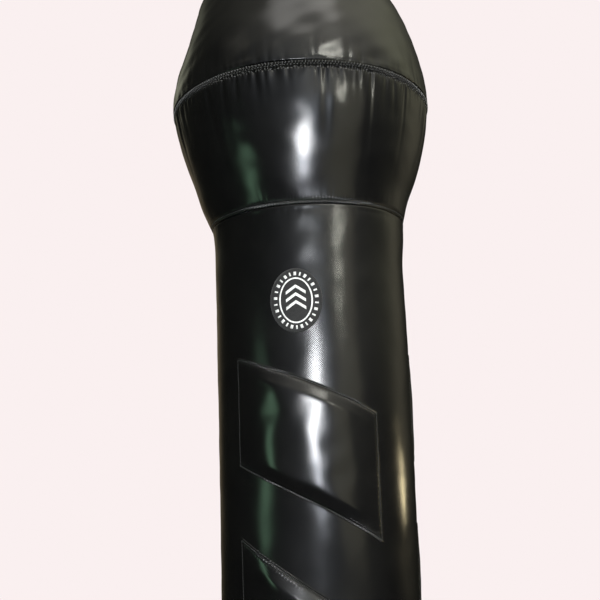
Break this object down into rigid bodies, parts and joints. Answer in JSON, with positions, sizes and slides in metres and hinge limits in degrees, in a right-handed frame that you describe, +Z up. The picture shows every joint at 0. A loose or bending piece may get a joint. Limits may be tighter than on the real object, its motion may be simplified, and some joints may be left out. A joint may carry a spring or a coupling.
{
  "type": "hanging grappling dummy",
  "caption": "Limbless hanging grappling and striking dummy: bulb-shaped head zone on a padded column, slanted strike pads, chains, carabiner and swivel.",
  "frame": {"origin": "centre of the swivel's top eye, where the bag is hung", "axes": "+Z up, along the bag; -Y is the front, with the badge; the eye's hole runs along Y"},
  "size_m": [0.49, 0.49, 2.0062],
  "materials": {
    "pvc": "glossy coated fabric",
    "pvc_pad": "glossy coated fabric, padded",
    "webbing": "woven nylon",
    "badge": "printed and sewn badge",
    "zinc": "bright zinc plate",
    "hardened": "ground steel",
    "foam": "closed-cell foam",
    "fill": "packed textile shreds",
    "zip_tape": "woven tape",
    "zip_coil": "nylon coil",
    "zip_metal": "black enamel"
  },
  "bodies": {
    "swivel": {"swivel_eye_cap": "zinc", "swivel_barrel": "zinc", "bearing_lower_race": "hardened", "bearing_balls": "hardened"},
    "stem": {"bearing_upper_race": "hardened", "stem_nut": "zinc", "swivel_stem": "zinc"},
    "carabiner": {"carabiner_body": "zinc", "gate_pin": "hardened"},
    "gate": {"gate": "zinc"},
    "zip_slider": {"zip_slider": "zip_metal"},
    "zip_pull": {"zip_pull": "zip_metal"},
    "bag": {"badge": "badge", "body_foam": "foam", "body_panel": "pvc", "bottom_binding": "pvc", "bottom_panel": "pvc", "bulb_panel": "pvc", "cap_binding": "pvc", "chain_leg_1": "zinc", "chain_leg_2": "zinc", "chain_leg_3": "zinc", "chain_leg_4": "zinc", "d_ring_1": "zinc", "d_ring_2": "zinc", "d_ring_3": "zinc", "d_ring_4": "zinc", "dome_panel": "pvc", "head_foam": "foam", "pad_cover_1": "pvc_pad", "pad_cover_2": "pvc_pad", "pad_cover_3": "pvc_pad", "pad_cover_4": "pvc_pad", "pad_cover_5": "pvc_pad", "pad_cover_6": "pvc_pad", "pad_foam_1": "foam", "pad_foam_2": "foam", "pad_foam_3": "foam", "pad_foam_4": "foam", "pad_foam_5": "foam", "pad_foam_6": "foam", "strap_tab_1": "webbing", "strap_tab_2": "webbing", "strap_tab_3": "webbing", "strap_tab_4": "webbing", "suspension_ring": "zinc", "tab_rivets": "zinc", "textile_fill": "fill", "top_cap": "pvc", "top_hoop": "zinc", "zipper_coils": "zip_coil", "zipper_end_patches": "pvc", "zipper_stops": "zip_metal", "zipper_tape": "zip_tape"}
  },
  "joints": [
    {"name": "swivel_spin", "type": "hinge", "parent": "swivel", "child": "stem", "pos_m": [0, 0, -0.10512], "axis": [0, 0, 1], "continuous": true},
    {"name": "side_swing", "type": "hinge", "parent": "stem", "child": "carabiner", "pos_m": [0, 0, -0.10512], "axis": [0, 1, 0], "range_deg": [-20, 20]},
    {"name": "front_swing", "type": "hinge", "parent": "carabiner", "child": "bag", "pos_m": [0, 0, -0.17972], "axis": [1, 0, 0], "range_deg": [-20, 20]},
    {"name": "gate_open", "type": "hinge", "parent": "carabiner", "child": "gate", "pos_m": [0, 0.017, -0.16512], "axis": [1, 0, 0], "range_deg": [0, 28], "stiffness_Nm_per_rad": 0.3, "springref_deg": -11.46},
    {"name": "zip_travel", "type": "slide", "parent": "bag", "child": "zip_slider", "axis": [0, 0, 1], "range_m": [-0.376, 0]},
    {"name": "zip_pull_lift", "type": "hinge", "parent": "zip_slider", "child": "zip_pull", "pos_m": [0, 0.18025, -1.13616], "axis": [1, 0, 0], "range_deg": [0, 160]}
  ]
}
